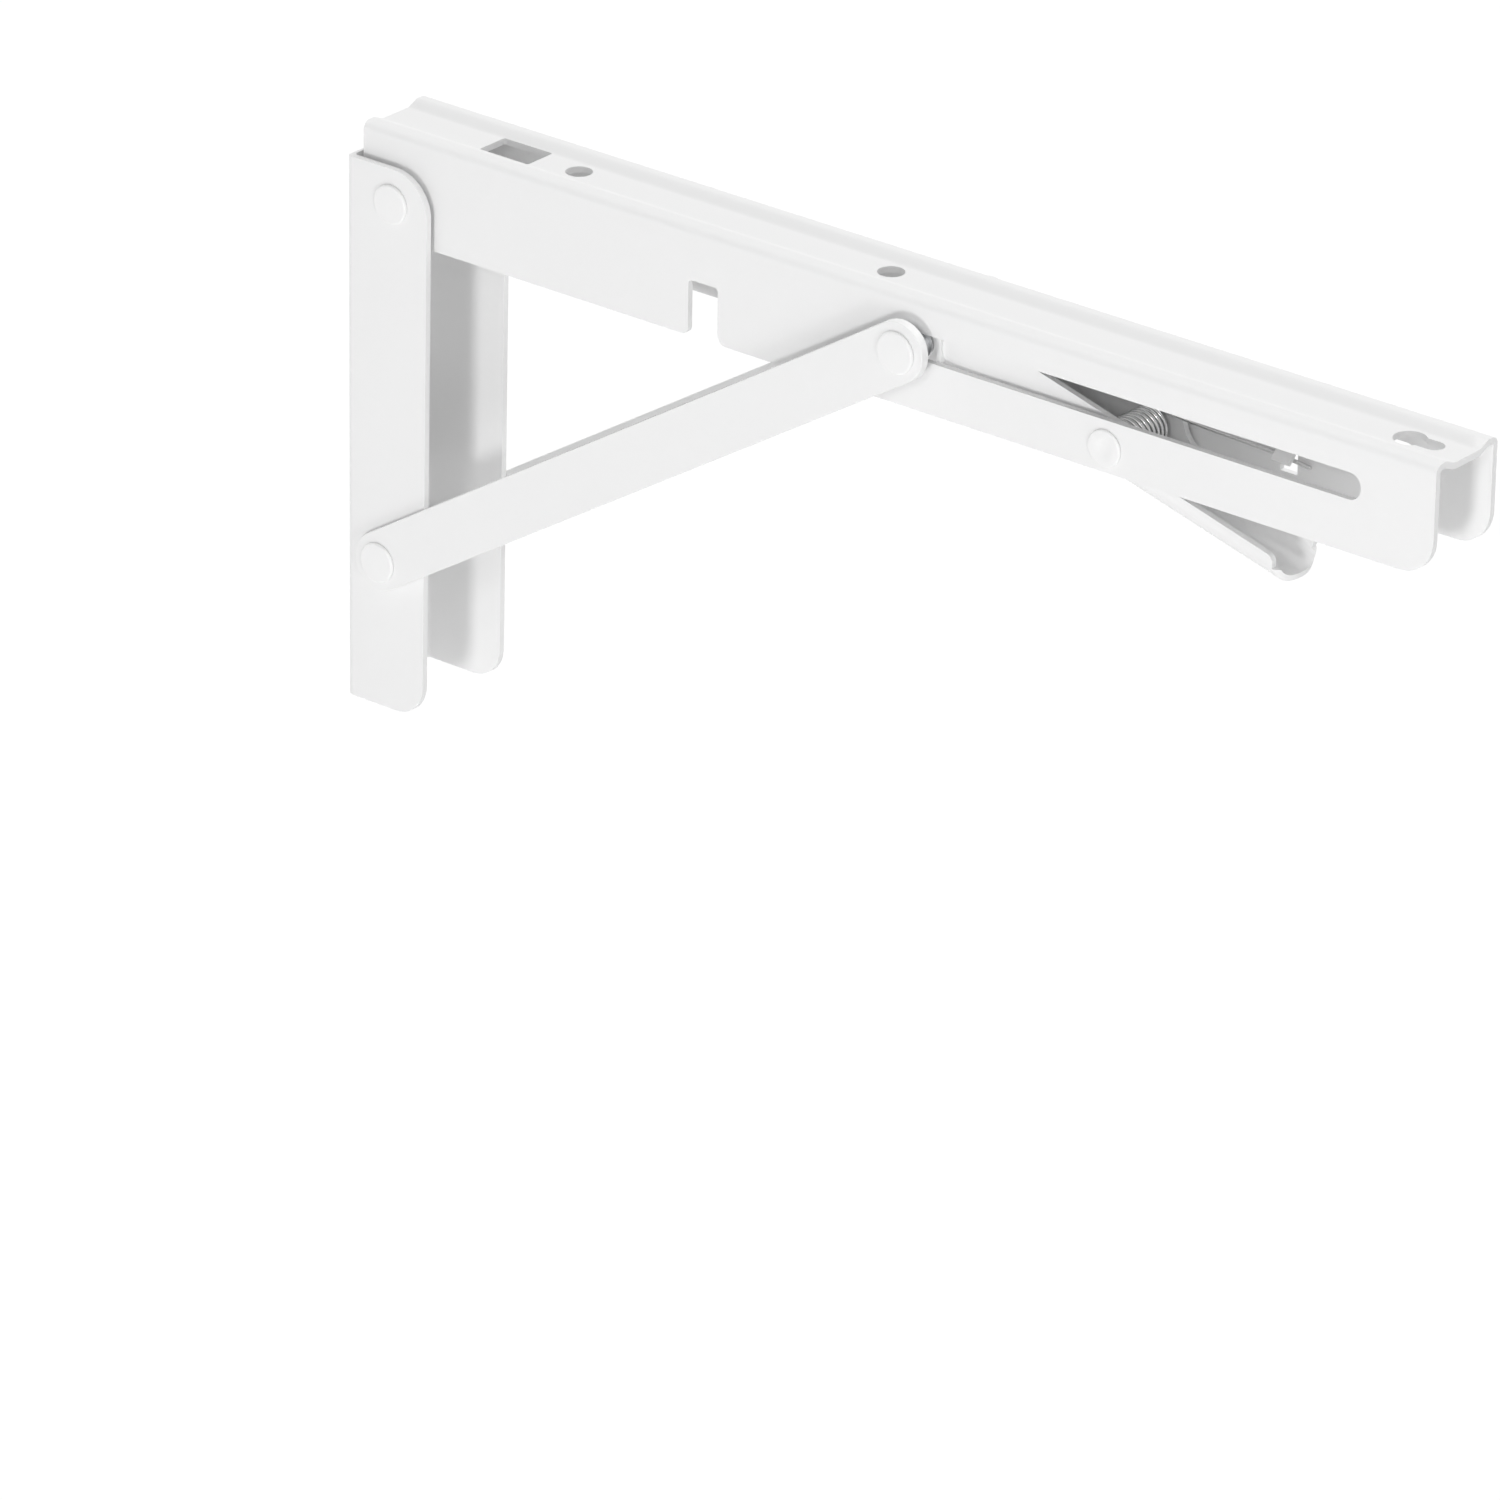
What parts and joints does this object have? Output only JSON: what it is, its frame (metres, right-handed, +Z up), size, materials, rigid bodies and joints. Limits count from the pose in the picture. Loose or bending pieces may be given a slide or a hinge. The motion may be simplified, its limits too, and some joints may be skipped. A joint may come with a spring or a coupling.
{
  "type": "folding shelf bracket",
  "caption": "Folding triangular shelf bracket: a channel arm on a wall channel, held level by sliding strut bars and freed by a sprung release lever.",
  "frame": {"origin": "middle of the wall channel's back face, which lies on the wall", "axes": "+X out of the wall along the arm, +Y across the bracket, +Z up"},
  "size_m": [0.301, 0.0364, 0.1423],
  "materials": {
    "coated_sheet": "satin white powder coat",
    "coated_rivets": "satin white powder coat",
    "spring_wire": "bright drawn steel wire",
    "zinc_plate": "bright zinc plate"
  },
  "bodies": {
    "wall_mount": {"wall_channel": "coated_sheet", "hinge_rivet": "coated_rivets", "hinge_washer_near": "zinc_plate", "hinge_washer_far": "zinc_plate"},
    "arm": {"arm_channel": "coated_sheet", "lever_rivet": "coated_rivets", "lever_washer_near": "zinc_plate", "lever_washer_far": "zinc_plate", "pivot_bush": "zinc_plate", "torsion_spring": "spring_wire"},
    "lever": {"release_lever": "coated_sheet"},
    "strut": {"strut_bar_near": "coated_sheet", "strut_bar_far": "coated_sheet", "foot_rivet": "coated_rivets", "stud_head_near": "coated_rivets", "stud_head_far": "coated_rivets", "stud_spacer_near": "zinc_plate", "stud_spacer_far": "zinc_plate"},
    "slider": {"slide_stud_near": "zinc_plate", "slide_stud_far": "zinc_plate"}
  },
  "joints": [
    {"name": "arm_fold", "type": "hinge", "parent": "wall_mount", "child": "arm", "pos_m": [0.0141, 0, 0.0588], "axis": [0, 1, 0], "range_deg": [0, 90]},
    {"name": "strut_swing", "type": "hinge", "parent": "wall_mount", "child": "strut", "pos_m": [0.0123, 0, -0.0297], "axis": [0, 1, 0], "range_deg": [0, 119.9]},
    {"name": "stud_slide", "type": "slide", "parent": "arm", "child": "slider", "axis": [1, 0, 0], "range_m": [0, 0.11727]},
    {"name": "lever_release", "type": "hinge", "parent": "arm", "child": "lever", "pos_m": [0.21414, 0, 0.0545], "axis": [0, -1, 0], "range_deg": [0, 15.2], "stiffness_Nm_per_rad": 0.6, "springref_deg": -17.19, "deforming": ["torsion_spring"]}
  ],
  "couplings": [
    {"joint": "strut_swing", "follows": "arm_fold", "ratio": 1.3321},
    {"joint": "stud_slide", "follows": "arm_fold", "m_per_rad": 0.074648}
  ]
}
